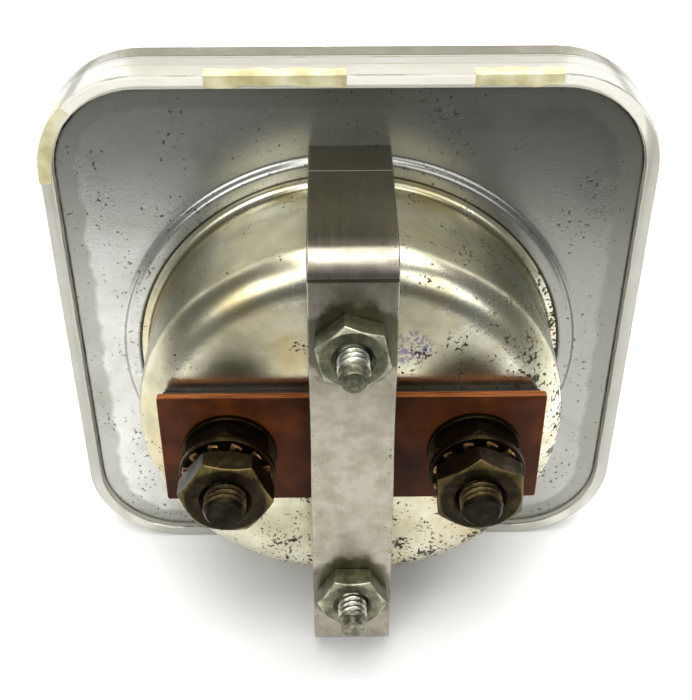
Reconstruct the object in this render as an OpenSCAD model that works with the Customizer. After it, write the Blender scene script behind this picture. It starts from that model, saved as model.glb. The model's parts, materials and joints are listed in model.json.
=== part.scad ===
// Square panel galvanometer: a clear front cover on a drawn steel case with a round barrel, a moving-coil
// movement inside, two screw terminals on an insulating strip and a strap bracket that clamps it to a panel.
// +Z is the top of the dial, the dial faces -Y and the barrel points to +Y. Left and right are as seen from
// the dial side, so right is +X. The origin is where the barrel's axis meets the rear face of the flange.

/* [Case] */
// Outer diameter of the round barrel
barrel_d = 50.8; // [48:0.2:64]
// Height of the barrel's back above the flange
case_depth = 16.5; // [16:0.1:24]
// Thickness of the drawn sheet
sheet_t = 0.7; // [0.5:0.05:0.9]
// Radius of the barrel's rear shoulder
shoulder_r = 4; // [2:0.25:5]
// Width of the raised ring around the barrel
ring_w = 3.1; // [2:0.1:6]
// Height of the raised ring above the flange
ring_h = 0.7; // [0.4:0.05:1.2]
// Width of flange left below the lower bracket leg
flange_land = 1; // [0.6:0.1:8]
// Distance from the flange's centre down to the barrel's axis
barrel_drop = 3.2; // [0:0.1:6]
// Corner radius of the flange
flange_corner_r = 10.5; // [6:0.5:16]

/* [Front cover] */
// Clear wall around the flange
rim_t = 1.6; // [1.2:0.1:3]
// Height of the rim behind the flange
rim_lip = 0.8; // [0.4:0.1:2]
// Distance from the flange's rear face to the cover's front
cover_depth = 7.3; // [7:0.1:12]
// Thickness of the cover's front wall
front_wall = 2.85; // [1.8:0.05:3]
// Width of the ledge that the flange sits on
ledge_w = 1.2; // [0.8:0.1:2]
// Thickness of the old clear tape around the rim
tape_t = 0.08; // [0.05:0.01:0.2]
// Width of the tape along the cover's side
tape_w = 1.8; // [1:0.1:4]

/* [Terminals] */
// Distance between the two terminals
terminal_spacing = 28.6; // [24:0.1:34]
// Outer diameter of the terminal thread
terminal_d = 4.82; // [4:0.01:5.2]
// Distance from the strip's rear face to a terminal's end
terminal_len = 10.6; // [10:0.1:16]
// Width across flats of the terminal nuts
terminal_af = 9.525; // [8.5:0.005:10]
// Thickness of the inner terminal nut
inner_nut_t = 2.8; // [2:0.1:3.2]
// Thickness of the outer terminal nut
outer_nut_t = 3.2; // [2.4:0.1:3.4]
// Diameter of the flat washers
flat_washer_d = 11; // [9.6:0.1:12]
// Thickness of each washer
washer_t = 0.8; // [0.5:0.1:1]
// Outer diameter over the lock washer's teeth
lock_washer_d = 10.5; // [9:0.1:12]
// Number of teeth on the lock washer
lock_teeth = 12; // [8:1:16]
// Length of the insulating strip
strip_l = 44.45; // [42:0.05:48]
// Width of the insulating strip
strip_w = 15.9; // [12:0.1:20]
// Thickness of the strip
strip_t = 0.9; // [0.6:0.1:1.6]
// Thickness of the black sheet under the strip
insulator_t = 1; // [0.5:0.1:1.6]
// Distance that the strip reaches past the black sheet, all round
insulator_inset = 0.5; // [0.2:0.1:1]

/* [Mounting bracket] */
// Distance between the two bracket studs
stud_spacing = 38.1; // [34:0.1:39]
// Outer diameter of the bracket studs
stud_d = 3.5; // [3:0.01:4]
// Distance from the bracket's face to a stud's end
stud_len = 6.4; // [6:0.1:10]
// Width of the strap
strap_w = 9.5; // [8.5:0.1:11]
// Thickness of the strap
strap_t = 1; // [0.8:0.05:1.4]
// Outer radius of the strap's bends
bend_r = 2.6; // [1.6:0.1:3.2]
// Gap between the case back and the strap's inner face
strap_gap = 5.6; // [4:0.1:8]
// Clearance between a leg's inner face and the raised ring
leg_clear = 0.4; // [0.3:0.05:1]
// Width across flats of the bracket nuts
stud_af = 7.4; // [6.35:0.05:8]
// Thickness of the bracket nuts
stud_nut_t = 2.7; // [2:0.1:3]

/* [Dial and pointer] */
// Thickness of the dial plate
dial_t = 0.4; // [0.3:0.05:0.6]
// Radius of the opening around the movement
dial_opening_r = 11.4; // [11:0.1:13]
// Length of the pointer from its axis
pointer_len = 25; // [18:0.5:28]
// Deflection to each side at the end of the scale
deflection = 45; // [30:1:46]
// Width of the pointer's blade
pointer_w = 0.5; // [0.3:0.05:1]
// Distance of the stops from the pointer's axis
stop_r = 17; // [14:0.5:18]
// Distance from the pointer's axis to the zero screw's axis
zero_screw_drop = 15; // [14:0.5:18]
// Offset of the zero screw's pin from its axis
zero_pin_offset = 1.6; // [1:0.1:2]

/* [Movement] */
// Outer diameter of the ring magnet
magnet_d = 30.4; // [29:0.1:31]
// Depth of the ring magnet
magnet_depth = 9.5; // [8.5:0.1:9.7]
// Inner radius of the ring magnet
magnet_bore_r = 11; // [10.4:0.1:11.5]
// Radius of the bore between the pole pieces
pole_bore_r = 7.2; // [7.1:0.05:7.6]
// Radius of the iron core
core_r = 5.4; // [4.5:0.1:5.5]
// Depth of the iron core
core_depth = 5.1; // [4:0.1:5.2]
// Thickness of the coil's aluminium former
former_t = 0.3; // [0.2:0.05:0.35]
// Thickness of the wound copper wire
winding_t = 0.55; // [0.3:0.05:0.6]
// Width of the coil along its rim
coil_w = 2.8; // [2:0.1:3.2]
// Turns of each hairspring
spring_turns = 3.5; // [2.5:0.5:4.5]

/* [Hidden] */
$fn = 96;

// Clearances
running = 0.05;
free_gap = 0.3;
seat = 0.02;

// Case and bracket, all measured from the barrel's axis
barrel_r = barrel_d / 2;
inside_r = barrel_r - sheet_t;
inside_back = case_depth - sheet_t;
ring_r = barrel_r + ring_w;
leg_out = ring_r + leg_clear + strap_t;
leg_foot_gap = 0.1;
strap_y = case_depth + strap_gap + strap_t;
stud_end = strap_y + stud_len;
stud_z = stud_spacing / 2;
stud_point_r = 0.785 * stud_d / 2;
stud_point_len = 1.2;
stud_taper = 0.3;
stud_shoulder_r = 2.3;
strap_hole_r = stud_d / 2 + free_gap;
upper_nut_turn = 42;
lower_nut_turn = 0;
left_nut_turn = 33;
right_nut_turn = -6;

// Flange and cover, centred above the barrel's axis
flange_size = 2 * (leg_out + flange_land + barrel_drop);
flange_clear = 0.1;
cover_size = flange_size + 2 * (rim_t + flange_clear);
cover_corner_r = flange_corner_r + rim_t + flange_clear;
cavity_size = flange_size - 2 * ledge_w;
cavity_corner_r = flange_corner_r - ledge_w;
cover_inside = -cover_depth + front_wall;
cover_top = barrel_drop + cover_size / 2;
tape_front = rim_lip - tape_w;

// Terminal stack, from the case back rearwards
terminal_x = terminal_spacing / 2;
strip_y = case_depth + insulator_t;
strip_back = strip_y + strip_t;
inner_nut_y = strip_back + washer_t;
wire_washer_y = inner_nut_y + inner_nut_t;
lock_washer_y = wire_washer_y + washer_t + running;
outer_nut_y = lock_washer_y + washer_t;
terminal_end = strip_back + terminal_len;
terminal_chamfer = 0.55;
root_depth = 0.35;
root_start = 0.1;
root_w = 0.55;
bushing_r = 3.9;
bushing_flange_r = 5;
bushing_flange_t = 0.9;
lug_t = 0.3;
lug_r = 4.2;
lug_reach = 6.5;
terminal_head_r = 4;
terminal_head_t = 1.5;
lug_y = inside_back - bushing_flange_t - lug_t;

// Dial side, from the flange forwards
flange_front = -sheet_t;
dial_front = flange_front - dial_t;
pointer_t = 0.3;
pointer_y = dial_front - 0.95;
pointer_root_y = 0.9;
crank_in_r = 4.4;
crank_out_r = 8;
stop_pin_r = 0.4;
stop_pin_y = pointer_y - 0.6;
stop_margin = 4;

// Movement, from the dial side rearwards
magnet_y = 2;
floor_y = magnet_y + 9.5;
floor_t = 1.2;
pole_y = magnet_y + 0.6;
pole_depth = 7;
pole_half_angle = 60;
core_y = 3.4;
coil_gap = 0.35;
coil_inner_x = core_r + coil_gap;
coil_front = core_y - 0.5;
coil_back = core_y + core_depth + 0.5;
coil_t = former_t + winding_t;
staff_r = 0.35;
collet_r = 1;
hub_r = 1.4;
frame_wall_r = magnet_d / 2 + 0.1;
frame_wall_t = 1.3;
frame_floor_r = frame_wall_r + 1.9;
frame_ear_r = 4.2;
dial_boss_r = 2;
dial_boss_x = frame_wall_r + dial_boss_r + 0.1;
dial_screw_r = 0.8;
bridge_y = -1.5;
bridge_t = 0.7;
post_r = 1.2;
post_x = (pole_bore_r + magnet_bore_r) / 2;
bridge_screw_r = 0.7;
jewel_screw_r = 1.6;
jewel_cup_r = 0.6;
front_jewel_y = -2.75;
front_jewel_end = -0.5;
rear_jewel_y = floor_y - 0.2;
rear_jewel_end = floor_y + 2.7;
front_spring_y = -0.1;
rear_spring_y = coil_back + coil_t + 0.5;
spring_h = 0.4;
spring_strip_t = 0.09;
spring_in_r = 1.1;
spring_out_r = 3.7;
spring_tab_r = 0.4;
spring_tab_z = spring_out_r + spring_tab_r + 0.1;
arm_y = -1.95;
arm_t = 0.35;
arm_ring_r = 3;
arm_tail_w = 1.6;
zero_pin_r = 0.5;
fork_clear = 0.2;
zero_pin_end = arm_y + arm_t + 0.2;
zero_head_r = 4;
zero_head_t = 1.1;
zero_shank_r = 2.5;
zero_neck_r = 2.15;
clip_r = 3.6;
clip_t = 0.35;
wire_r = 0.45;
wire_y = lug_y - wire_r - seat;

// ---- Shapes that repeat ----

// A slab of an outline drawn in X and Z, from y0 rearwards over a thickness t
module slab(y0, t) {
    translate([0, y0 + t, 0])
        rotate([90, 0, 0])
            linear_extrude(t) children();
}

// A solid of revolution about the Y axis, from a profile of radius and Y
module turned() {
    rotate([-90, 0, 0])
        rotate_extrude() children();
}

module rod(y0, y1, r) {
    translate([0, y0, 0])
        rotate([-90, 0, 0])
            cylinder(h = y1 - y0, r = r);
}

module tube(y0, y1, r, bore) {
    difference() {
        rod(y0, y1, r);
        rod(y0 - 1, y1 + 1, bore);
    }
}

module at(x, z) {
    translate([x, 0, z]) children();
}

module at_terminals() {
    for (side = [-1, 1]) at(side * terminal_x, 0) children();
}

module at_studs() {
    for (side = [-1, 1]) at(0, side * stud_z) children();
}

module rounded_square(size, r) {
    square([size - 2 * r, size], center = true);
    square([size, size - 2 * r], center = true);
    for (x = [-1, 1], y = [-1, 1])
        translate([x * (size / 2 - r), y * (size / 2 - r)]) circle(r);
}

// A hexagonal nut bored for a thread, turned about its axis by an angle
module hex_nut(y0, t, af, thread_d, turn) {
    rotate([0, turn, 0])
        difference() {
            slab(y0, t) circle(af / sqrt(3), $fn = 6);
            rod(y0 - 1, y0 + t + 1, thread_d / 2 + running);
        }
}

// The half profile of the barrel at one of its two surfaces
module barrel_profile(r, depth, corner) {
    square([r - corner, depth]);
    square([r, depth - corner]);
    translate([r - corner, depth - corner]) circle(corner);
}

// One straight run of insulated wire
module wire_run(a, b) {
    run = b - a;
    length = norm(run);
    translate(a)
        rotate([0, acos(run[2] / length), atan2(run[1], run[0])])
            cylinder(h = length, r = wire_r, $fn = 24);
}

// Straight runs with a round bend at each inner point, a little fuller than the wire
module wire(points) {
    for (i = [0 : len(points) - 2]) wire_run(points[i], points[i + 1]);
    for (i = [1 : len(points) - 2]) translate(points[i]) sphere(wire_r + seat, $fn = 24);
}

// Profile points of the thread's root beside a nut's outer face
function thread_root(r, y) = [
    [r, y + root_start], [r - root_depth, y + root_start + root_w / 2], [r, y + root_start + root_w]
];

function spiral_point(r, angle) = [r * sin(angle), r * cos(angle)];

// A flat spiral strip, whose outer end lies at the top
module spiral_strip() {
    steps = spring_turns * 24;
    rise = (spring_out_r - spring_in_r) / steps;
    inner = [for (i = [0 : steps]) spiral_point(spring_out_r - i * rise, i * 15)];
    outer = [for (i = [steps : -1 : 0]) spiral_point(spring_out_r - i * rise + spring_strip_t, i * 15)];
    polygon(concat(inner, outer));
}

// ---- Front cover and dial ----

module cover_outline(size, r) {
    translate([0, barrel_drop]) rounded_square(size, r);
}

module front_cover() {
    color([0.93, 0.92, 0.86, 0.5])
        difference() {
            slab(-cover_depth, cover_depth + rim_lip) cover_outline(cover_size, cover_corner_r);
            slab(cover_inside, cover_depth) cover_outline(cavity_size, cavity_corner_r);
            slab(flange_front, rim_lip + 1)
                cover_outline(flange_size + 2 * flange_clear, flange_corner_r + flange_clear);
            at(0, -zero_screw_drop) {
                rod(-cover_depth - 1, cover_inside + 1, zero_shank_r + running);
                rod(-cover_depth - 1, -cover_depth + zero_head_t + 0.2, zero_head_r + 0.1);
            }
        }
}

module edge_tape() {
    color([0.85, 0.8, 0.6, 0.6]) {
        for (span = [[0.5, 16.5], [-24.5, -13.7]])
            translate([span[0], tape_front, cover_top])
                cube([span[1] - span[0], tape_w, tape_t]);
        translate([cover_size / 2, tape_front, barrel_drop + 3])
            cube([tape_t, tape_w, cover_size / 2 - cover_corner_r - 4]);
    }
}

module zero_screw() {
    color("dimgray")
        at(0, -zero_screw_drop) {
            difference() {
                rod(-cover_depth + 0.2, -cover_depth + 0.2 + zero_head_t, zero_head_r);
                translate([-zero_head_r - 1, -cover_depth, -0.5]) cube([2 * zero_head_r + 2, 0.8, 1]);
            }
            rod(-cover_depth + zero_head_t, cover_inside, zero_shank_r);
            rod(cover_inside - 0.1, cover_inside + 0.6, zero_neck_r);
            at(0, zero_pin_offset) rod(cover_inside, zero_pin_end, zero_pin_r);
        }
}

module zero_screw_clip() {
    color("silver")
        at(0, -zero_screw_drop)
            tube(cover_inside + running, cover_inside + running + clip_t, clip_r, zero_neck_r + seat);
}

module dial_plate() {
    color("ivory")
        difference() {
            slab(dial_front, dial_t)
                cover_outline(cavity_size - 2 * free_gap, cavity_corner_r - free_gap);
            rod(dial_front - 1, flange_front + 1, dial_opening_r);
            for (side = [-1, 1])
                at(side * dial_boss_x, 0) rod(dial_front - 1, flange_front + 1, dial_screw_r + running);
        }
}

module dial_screws() {
    color("silver")
        for (side = [-1, 1])
            at(side * dial_boss_x, 0)
                turned() {
                    translate([0, dial_front - 0.6]) square([1.6, 0.6]);
                    translate([0, dial_front - 0.1]) square([dial_screw_r, 4]);
                }
}

module pointer_stops() {
    color("black")
        for (side = [-1, 1])
            rotate([0, side * (deflection + stop_margin), 0])
                at(0, stop_r) rod(stop_pin_y, dial_front, stop_pin_r);
}

// ---- Case ----

module flange_outline() {
    cover_outline(flange_size, flange_corner_r);
}

module rear_case() {
    color([0.62, 0.63, 0.6])
        difference() {
            union() {
                slab(flange_front, sheet_t) flange_outline();
                rod(-0.1, ring_h, ring_r);
                turned() barrel_profile(barrel_r, case_depth, shoulder_r);
            }
            rod(flange_front - 1, ring_h - sheet_t, ring_r - sheet_t);
            translate([0, flange_front - 1, 0])
                turned() barrel_profile(inside_r, inside_back - flange_front + 1, shoulder_r - sheet_t);
            at_terminals() rod(inside_back - 1, case_depth + 1, bushing_r + running);
            at_studs() rod(inside_back - 1, case_depth + 1, stud_d / 2 + 0.15);
        }
}

// ---- Terminals ----

module strip_outline(inset) {
    square([strip_l - 2 * inset, strip_w - 2 * inset], center = true);
}

module strip_sheet(y0, t, inset) {
    difference() {
        slab(y0, t) strip_outline(inset);
        at_terminals() rod(y0 - 1, y0 + t + 1, terminal_d / 2 + 0.1);
    }
}

module strip_insulator() {
    color([0.1, 0.09, 0.09]) strip_sheet(case_depth, insulator_t, insulator_inset);
}

module terminal_strip() {
    color([0.36, 0.17, 0.08]) strip_sheet(strip_y, strip_t, 0);
}

module terminal_stud(x) {
    head_y = lug_y - terminal_head_t;
    thread_r = terminal_d / 2;
    color([0.35, 0.31, 0.2])
        at(x, 0)
            turned()
                polygon(concat(
                    [[0, head_y], [terminal_head_r, head_y], [terminal_head_r, lug_y], [thread_r, lug_y]],
                    thread_root(thread_r, outer_nut_y + outer_nut_t),
                    [
                        [thread_r, terminal_end - terminal_chamfer],
                        [thread_r - terminal_chamfer, terminal_end], [0, terminal_end]
                    ]
                ));
}

module terminal_bushings() {
    color([0.2, 0.12, 0.08])
        at_terminals()
            difference() {
                union() {
                    rod(inside_back - bushing_flange_t, inside_back, bushing_flange_r);
                    rod(inside_back - 0.1, case_depth, bushing_r);
                }
                rod(lug_y, case_depth + 1, terminal_d / 2 + 0.1);
            }
}

module terminal_lugs() {
    color([0.75, 0.65, 0.4])
        at_terminals()
            difference() {
                slab(lug_y, lug_t) {
                    circle(lug_r);
                    translate([-1.5, -lug_reach]) square([3, lug_reach]);
                }
                rod(lug_y - 1, lug_y + lug_t + 1, terminal_d / 2 + 0.1);
            }
}

module flat_washers(y0) {
    at_terminals() tube(y0, y0 + washer_t, flat_washer_d / 2, terminal_d / 2 + 0.15);
}

module strip_washers() {
    color([0.42, 0.38, 0.25]) flat_washers(strip_back);
}

module inner_nuts() {
    color([0.35, 0.31, 0.2])
        at_terminals() hex_nut(inner_nut_y, inner_nut_t, terminal_af, terminal_d, 30);
}

module wire_washers() {
    color([0.42, 0.38, 0.25]) flat_washers(wire_washer_y);
}

// Ring with square external teeth spaced evenly around it
module lock_washer(x) {
    root_r = lock_washer_d / 2 - 1.1;
    tooth_w = PI * root_r / lock_teeth;
    color([0.65, 0.42, 0.26])
        at(x, 0)
            difference() {
                slab(lock_washer_y, washer_t) {
                    circle(root_r);
                    for (i = [0 : lock_teeth - 1])
                        rotate(i * 360 / lock_teeth)
                            translate([0, -tooth_w / 2]) square([lock_washer_d / 2, tooth_w]);
                }
                rod(lock_washer_y - 1, outer_nut_y + 1, terminal_d / 2 + 0.1);
            }
}

module outer_nut(x, turn) {
    color([0.35, 0.31, 0.2])
        at(x, 0) hex_nut(outer_nut_y, outer_nut_t, terminal_af, terminal_d, turn);
}

// ---- Bracket and studs ----

module bracket_studs() {
    thread_r = stud_d / 2;
    color([0.6, 0.6, 0.55])
        at_studs()
            turned()
                polygon(concat(
                    [
                        [0, floor_y], [thread_r, floor_y], [thread_r, floor_y + floor_t],
                        [stud_shoulder_r, floor_y + floor_t], [stud_shoulder_r, inside_back],
                        [thread_r, inside_back]
                    ],
                    thread_root(thread_r, strap_y + stud_nut_t),
                    [
                        [thread_r, stud_end - stud_point_len - stud_taper],
                        [stud_point_r, stud_end - stud_point_len], [stud_point_r, stud_end], [0, stud_end]
                    ]
                ));
}

module stud_lock_nuts() {
    color([0.55, 0.55, 0.48])
        at_studs() hex_nut(case_depth, stud_nut_t, stud_af, stud_d, 30);
}

// Outline of a U strap, web at the top of the drawing and feet on its base line, out to half width w
module strap_shape(w, top, r) {
    translate([-w, 0]) square([2 * w, top - r]);
    translate([-w + r, 0]) square([2 * (w - r), top]);
    for (side = [-1, 1]) translate([side * (w - r), top - r]) circle(r);
}

module mounting_bracket() {
    color([0.74, 0.71, 0.66])
        difference() {
            translate([-strap_w / 2, 0, 0])
                rotate([90, 0, 90])
                    linear_extrude(strap_w)
                        rotate(-90)
                            mirror([1, 0])
                                difference() {
                                    translate([0, leg_foot_gap])
                                        strap_shape(leg_out, strap_y - leg_foot_gap, bend_r);
                                    translate([0, -1])
                                        strap_shape(leg_out - strap_t, strap_y - strap_t + 1, bend_r - strap_t);
                                }
            at_studs() rod(strap_y - strap_t - 1, strap_y + 1, strap_hole_r);
        }
}

module bracket_nut(z, turn) {
    color([0.55, 0.55, 0.48])
        at(0, z) hex_nut(strap_y, stud_nut_t, stud_af, stud_d, turn);
}

// ---- Movement, fixed pieces ----

module movement_frame() {
    color([0.7, 0.71, 0.72])
        difference() {
            union() {
                rod(floor_y, floor_y + floor_t, frame_floor_r);
                at_studs() rod(floor_y, floor_y + floor_t, frame_ear_r);
                tube(magnet_y + 1, floor_y + 0.1, frame_wall_r + frame_wall_t, frame_wall_r);
                for (side = [-1, 1])
                    at(side * dial_boss_x, 0) rod(flange_front, floor_y + floor_t, dial_boss_r);
            }
            for (side = [-1, 1])
                at(side * dial_boss_x, 0) rod(flange_front - 1, dial_front + 4.5, dial_screw_r + running);
            at_studs() rod(floor_y - 1, floor_y + floor_t + 1, stud_d / 2 + seat);
            rod(floor_y - 1, floor_y + floor_t + 1, jewel_screw_r + seat);
            at(0, -spring_tab_z) rod(floor_y - 1, floor_y + floor_t + 1, 2 * spring_tab_r + seat);
        }
}

module ring_magnet() {
    color([0.33, 0.34, 0.36]) tube(floor_y - magnet_depth, floor_y, magnet_d / 2, magnet_bore_r);
}

// Half of the iron ring between the magnet and the coil, on the side given by 1 or -1
module pole_piece(side) {
    reach = 2 * magnet_bore_r;
    color([0.5, 0.5, 0.52])
        difference() {
            slab(pole_y, pole_depth)
                intersection() {
                    difference() {
                        circle(magnet_bore_r - seat);
                        circle(pole_bore_r);
                    }
                    polygon([
                        [0, 0],
                        [side * reach * cos(pole_half_angle), reach * sin(pole_half_angle)],
                        [side * reach, 0],
                        [side * reach * cos(pole_half_angle), -reach * sin(pole_half_angle)]
                    ]);
                }
            at(side * post_x, 0) rod(pole_y - 1, pole_y + 3, bridge_screw_r + seat);
        }
}

module iron_core() {
    color([0.5, 0.5, 0.52]) rod(core_y, core_y + core_depth, core_r);
}

// Brass lugs above and below the core, which hold it in the magnet between the pole pieces
module core_lugs() {
    color([0.75, 0.65, 0.4])
        slab(core_y + 1, core_depth - 2)
            intersection() {
                difference() {
                    circle(magnet_bore_r - seat);
                    circle(core_r + seat);
                }
                square([3, 2 * magnet_bore_r], center = true);
            }
}

module front_bridge() {
    color([0.78, 0.66, 0.38])
        difference() {
            slab(bridge_y, bridge_t) {
                square([2 * post_x, 4], center = true);
                circle(3.2);
                for (side = [-1, 1]) translate([side * post_x, 0]) circle(2);
            }
            rod(bridge_y - 1, bridge_y + bridge_t + 1, jewel_screw_r + seat);
            for (side = [-1, 1])
                at(side * post_x, 0) rod(bridge_y - 1, bridge_y + bridge_t + 1, bridge_screw_r + seat);
        }
}

module bridge_posts() {
    color([0.78, 0.66, 0.38])
        for (side = [-1, 1])
            at(side * post_x, 0) tube(bridge_y + bridge_t, pole_y, post_r, bridge_screw_r + seat);
}

module bridge_screws() {
    color("silver")
        for (side = [-1, 1])
            at(side * post_x, 0)
                turned() {
                    translate([0, bridge_y - 0.7]) square([1.4, 0.7]);
                    translate([0, bridge_y - 0.1]) square([bridge_screw_r, pole_y + 2.5 - bridge_y]);
                }
}

// Screw that carries the pivot's jewel in a cup at one end, and has a driver slot at the other
module front_jewel_screw() {
    color([0.6, 0.5, 0.3])
        difference() {
            rod(front_jewel_y, front_jewel_end, jewel_screw_r);
            rod(front_jewel_end - 0.9, front_jewel_end + 1, jewel_cup_r);
            translate([-3, front_jewel_y - 1, -0.25]) cube([6, 1.4, 0.5]);
        }
}

module front_jewel_nut() {
    color([0.78, 0.66, 0.38])
        slab(front_jewel_y + 0.15, arm_y - running - front_jewel_y - 0.15)
            difference() {
                circle(2.9, $fn = 6);
                circle(jewel_screw_r + seat);
            }
}

module rear_jewel_screw() {
    color([0.6, 0.5, 0.3])
        difference() {
            rod(rear_jewel_y, rear_jewel_end, jewel_screw_r);
            rod(rear_jewel_y - 1, rear_jewel_y + 0.9, jewel_cup_r);
            translate([-3, rear_jewel_end - 0.6, -0.25]) cube([6, 1.4, 0.5]);
        }
}

module spring_tab() {
    color([0.75, 0.65, 0.4])
        at(0, -spring_tab_z) rod(rear_spring_y - 0.1, wire_y - wire_r - 0.05, spring_tab_r);
}

module spring_tab_bush() {
    color([0.2, 0.12, 0.08])
        at(0, -spring_tab_z)
            tube(floor_y, floor_y + floor_t, 2 * spring_tab_r, spring_tab_r + seat);
}

module rear_hairspring() {
    color([0.7, 0.45, 0.25])
        rotate([0, 180, 0]) slab(rear_spring_y, spring_h) spiral_strip();
}

module lead_left() {
    color([0.6, 0.1, 0.1])
        wire([
            [-terminal_x, wire_y, -lug_reach + 0.8], [-8, wire_y, -8.5], [0, wire_y, -spring_tab_z]
        ]);
}

module lead_right() {
    side_x = frame_wall_r + frame_wall_t + 4.2;
    color([0.1, 0.1, 0.1])
        wire([
            [terminal_x, wire_y, -lug_reach + 0.8], [side_x, floor_y + 0.7, -6.4], [side_x - 0.6, 1.5, -5.4],
            [12.6, 0.9, -2.2], [post_x + post_r + wire_r + running, 1.1, 0]
        ]);
}

// ---- Movement, moving pieces ----

module zero_arm() {
    slot_w = 2 * (zero_pin_r + fork_clear);
    slot_top = zero_screw_drop - zero_pin_offset - zero_pin_r - 0.9;
    tail_end = zero_screw_drop + 0.2;
    color([0.78, 0.66, 0.38]) {
        difference() {
            slab(arm_y, arm_t) {
                circle(arm_ring_r);
                translate([-arm_tail_w / 2, -slot_top]) square([arm_tail_w, slot_top]);
                translate([-slot_w / 2 - 0.8, -tail_end]) square([slot_w + 1.6, tail_end - slot_top + 1.4]);
                translate([-0.6, 0]) square([1.2, spring_tab_z]);
                translate([0, spring_tab_z]) circle(0.6);
            }
            rod(arm_y - 1, arm_y + arm_t + 1, jewel_screw_r + running);
            translate([-slot_w / 2, arm_y - 1, -tail_end - 1])
                cube([slot_w, arm_t + 2, tail_end + 1 - slot_top]);
        }
        at(0, spring_tab_z) rod(arm_y + 0.1, front_spring_y + spring_h, spring_tab_r - 0.15);
    }
}

module front_hairspring() {
    color([0.7, 0.45, 0.25]) slab(front_spring_y, spring_h) spiral_strip();
}

module coil_loop(x, front, back, t) {
    difference() {
        translate([-x - t, front - t, -coil_w / 2]) cube([2 * (x + t), back - front + 2 * t, coil_w]);
        translate([-x, front, -coil_w]) cube([2 * x, back - front, 2 * coil_w]);
    }
}

module coil_former() {
    color([0.75, 0.75, 0.77]) coil_loop(coil_inner_x, coil_front, coil_back, former_t);
}

module coil_winding() {
    color([0.6, 0.28, 0.12])
        coil_loop(coil_inner_x + former_t, coil_front - former_t, coil_back + former_t, winding_t);
}

module pivot_front() {
    color([0.6, 0.62, 0.66]) {
        rod(pointer_root_y + pointer_t, coil_front - coil_t, hub_r);
        rod(front_spring_y - 0.1, pointer_root_y, collet_r);
        rod(front_jewel_end - 0.75, pointer_root_y + pointer_t + 0.1, staff_r);
    }
}

module pivot_rear() {
    color([0.6, 0.62, 0.66]) {
        rod(coil_back + coil_t, coil_back + coil_t + 0.35, hub_r);
        rod(coil_back + coil_t, rear_spring_y + spring_h + 0.1, collet_r);
        rod(coil_back + coil_t, rear_jewel_y + 0.75, staff_r);
    }
}

module pointer() {
    rise = pointer_root_y - pointer_y;
    run = crank_out_r - crank_in_r;
    arm_r = 5.8;
    color("black") {
        difference() {
            slab(pointer_root_y, pointer_t) {
                circle(hub_r);
                translate([-0.4, 0]) square([0.8, crank_in_r]);
                translate([-arm_r, -0.3]) square([2 * arm_r, 0.6]);
                translate([-0.3, -arm_r]) square([0.6, arm_r]);
            }
            rod(pointer_root_y - 1, pointer_root_y + pointer_t + 1, staff_r + seat);
        }
        translate([-0.4, pointer_root_y, crank_in_r - 0.1])
            rotate([atan2(rise, run), 0, 0])
                cube([0.8, pointer_t, norm([rise, run])]);
        slab(pointer_y, pointer_t)
            polygon([
                [-0.4, crank_out_r - 0.2], [-pointer_w / 2, crank_out_r + 2],
                [-pointer_w / 2, pointer_len - 3], [0, pointer_len], [pointer_w / 2, pointer_len - 3],
                [pointer_w / 2, crank_out_r + 2], [0.4, crank_out_r - 0.2]
            ]);
    }
}

// Small solder weights on the three short arms
module balance_weights() {
    color([0.62, 0.62, 0.58])
        for (turn = [90, 180, 270])
            rotate([0, turn, 0])
                translate([0, pointer_root_y + pointer_t / 2, 3.8])
                    difference() {
                        cylinder(h = 1.6, r = 0.7);
                        translate([-0.3 - seat, -pointer_t / 2 - seat, -1])
                            cube([0.6 + 2 * seat, pointer_t + 2 * seat, 4]);
                    }
}

front_cover();
edge_tape();
zero_screw();
zero_screw_clip();
dial_plate();
dial_screws();
pointer_stops();
rear_case();
strip_insulator();
terminal_strip();
terminal_stud(-terminal_x);  // terminal_stud_left
terminal_stud(terminal_x);  // terminal_stud_right
terminal_bushings();
terminal_lugs();
strip_washers();
inner_nuts();
wire_washers();
lock_washer(-terminal_x);  // lock_washer_left
lock_washer(terminal_x);  // lock_washer_right
outer_nut(-terminal_x, left_nut_turn);  // outer_nut_left
outer_nut(terminal_x, right_nut_turn);  // outer_nut_right
bracket_studs();
stud_lock_nuts();
mounting_bracket();
bracket_nut(stud_z, upper_nut_turn);  // bracket_nut_upper
bracket_nut(-stud_z, lower_nut_turn);  // bracket_nut_lower
movement_frame();
ring_magnet();
pole_piece(-1);  // pole_piece_left
pole_piece(1);  // pole_piece_right
iron_core();
core_lugs();
front_bridge();
bridge_posts();
bridge_screws();
front_jewel_screw();
front_jewel_nut();
rear_jewel_screw();
zero_arm();
front_hairspring();
rear_hairspring();
spring_tab();
spring_tab_bush();
coil_former();
coil_winding();
pivot_front();
pivot_rear();
pointer();
balance_weights();
lead_left();
lead_right();
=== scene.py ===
"""A square panel galvanometer seen from behind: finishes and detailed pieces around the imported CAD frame."""

import json
import math
from functools import partial

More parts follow.
